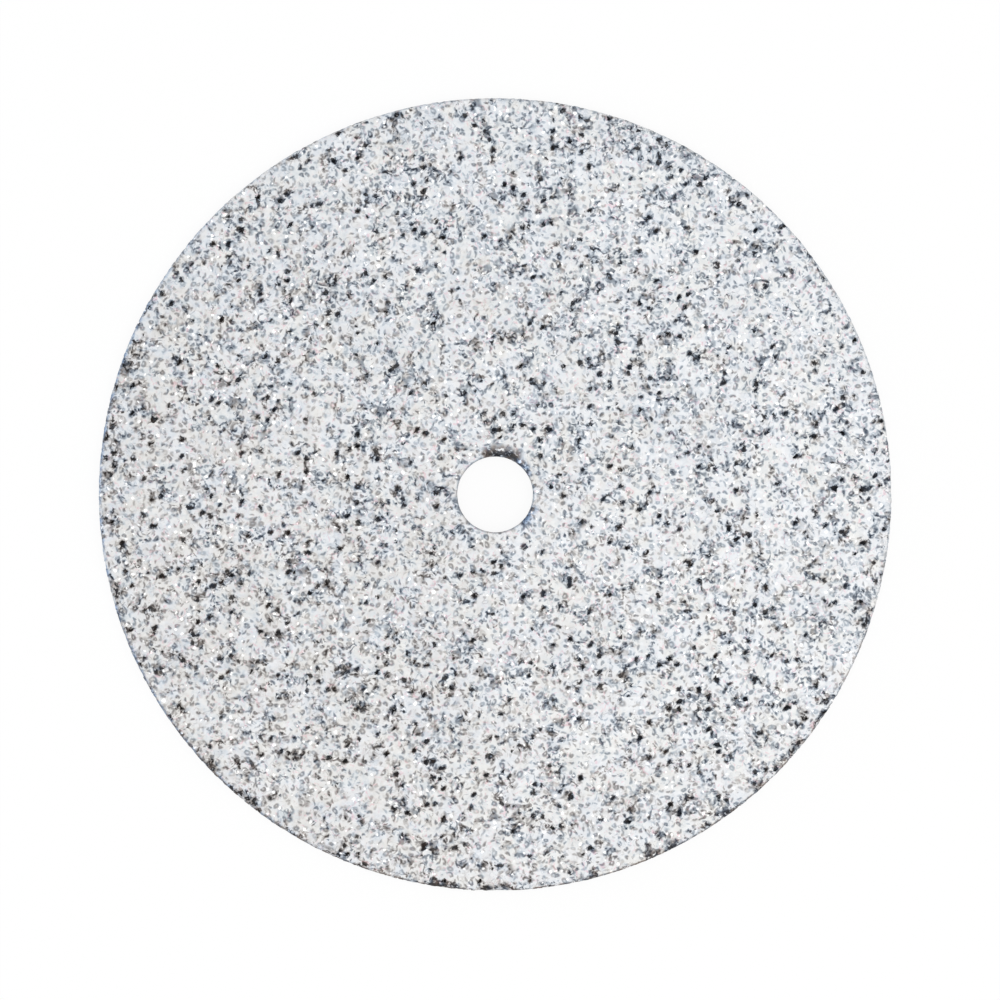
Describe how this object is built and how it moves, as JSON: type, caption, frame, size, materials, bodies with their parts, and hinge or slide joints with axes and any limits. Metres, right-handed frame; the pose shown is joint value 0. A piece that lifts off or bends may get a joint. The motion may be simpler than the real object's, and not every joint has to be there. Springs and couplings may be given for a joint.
{
  "type": "cutting disc",
  "caption": "Thin flat cutting disc of white bonded abrasive grain, with a plain central hole for a small mandrel and a rim worn and chipped along its front edge.",
  "frame": {"origin": "on the axis of the hole, at the disc's back face, which it lies on", "axes": "+Z along the axis of the hole, from the back face to the front face that the picture shows; +X to the picture's right and +Y to its top"},
  "size_m": [0.022, 0.022, 0.0006],
  "materials": {
    "abrasive": "coarse bonded white grain, open-pored and matt, with dark pits and glints from crystal faces"
  },
  "bodies": {
    "root": {"disc": "abrasive"}
  },
  "joints": []
}
